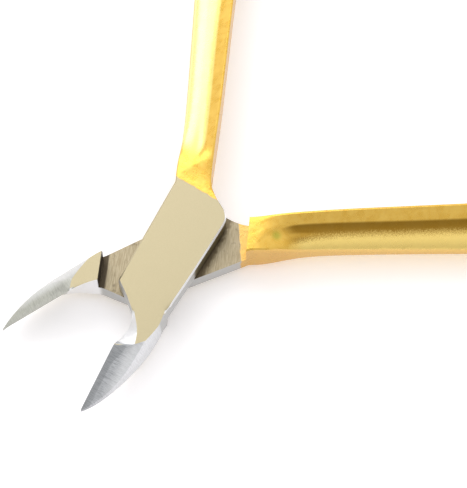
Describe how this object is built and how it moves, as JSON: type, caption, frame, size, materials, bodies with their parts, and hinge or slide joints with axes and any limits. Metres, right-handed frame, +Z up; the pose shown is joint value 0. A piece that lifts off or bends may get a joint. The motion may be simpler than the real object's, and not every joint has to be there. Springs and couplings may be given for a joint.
{
  "type": "cuticle nipper",
  "caption": "Open cuticle nipper: lap-jointed forged halves with ground jaws, gold-plated handles and a sprung pivot.",
  "frame": {"origin": "middle of the bounding box, on the surface the open nipper lies on", "axes": "+Z up along the pivot axis, towards the upper half's plate; +Y from the jaws to the handles along the line midway between them; +X towards the lower half's handle"},
  "size_m": [0.084, 0.0934, 0.006],
  "materials": {
    "gold_plating": "polished gold plating over forged stainless steel, joint and jaws ground bare",
    "ground_steel": "bare stainless steel, satin ground",
    "spring_steel": "polished spring strip"
  },
  "bodies": {
    "upper": {"upper_half": "gold_plating", "pivot_pin": "ground_steel", "spring_leaf_upper": "spring_steel", "spring_rivet_upper": "ground_steel"},
    "lower": {"lower_half": "gold_plating", "spring_leaf_lower": "spring_steel", "spring_rivet_lower": "ground_steel"}
  },
  "joints": [
    {"name": "jaw_pivot", "type": "hinge", "parent": "upper", "child": "lower", "pos_m": [0, -0.02669, 0], "axis": [0, 0, 1], "range_deg": [0, 36.7], "stiffness_Nm_per_rad": 0.3, "deforming": ["spring_leaf_upper", "spring_leaf_lower"]}
  ]
}
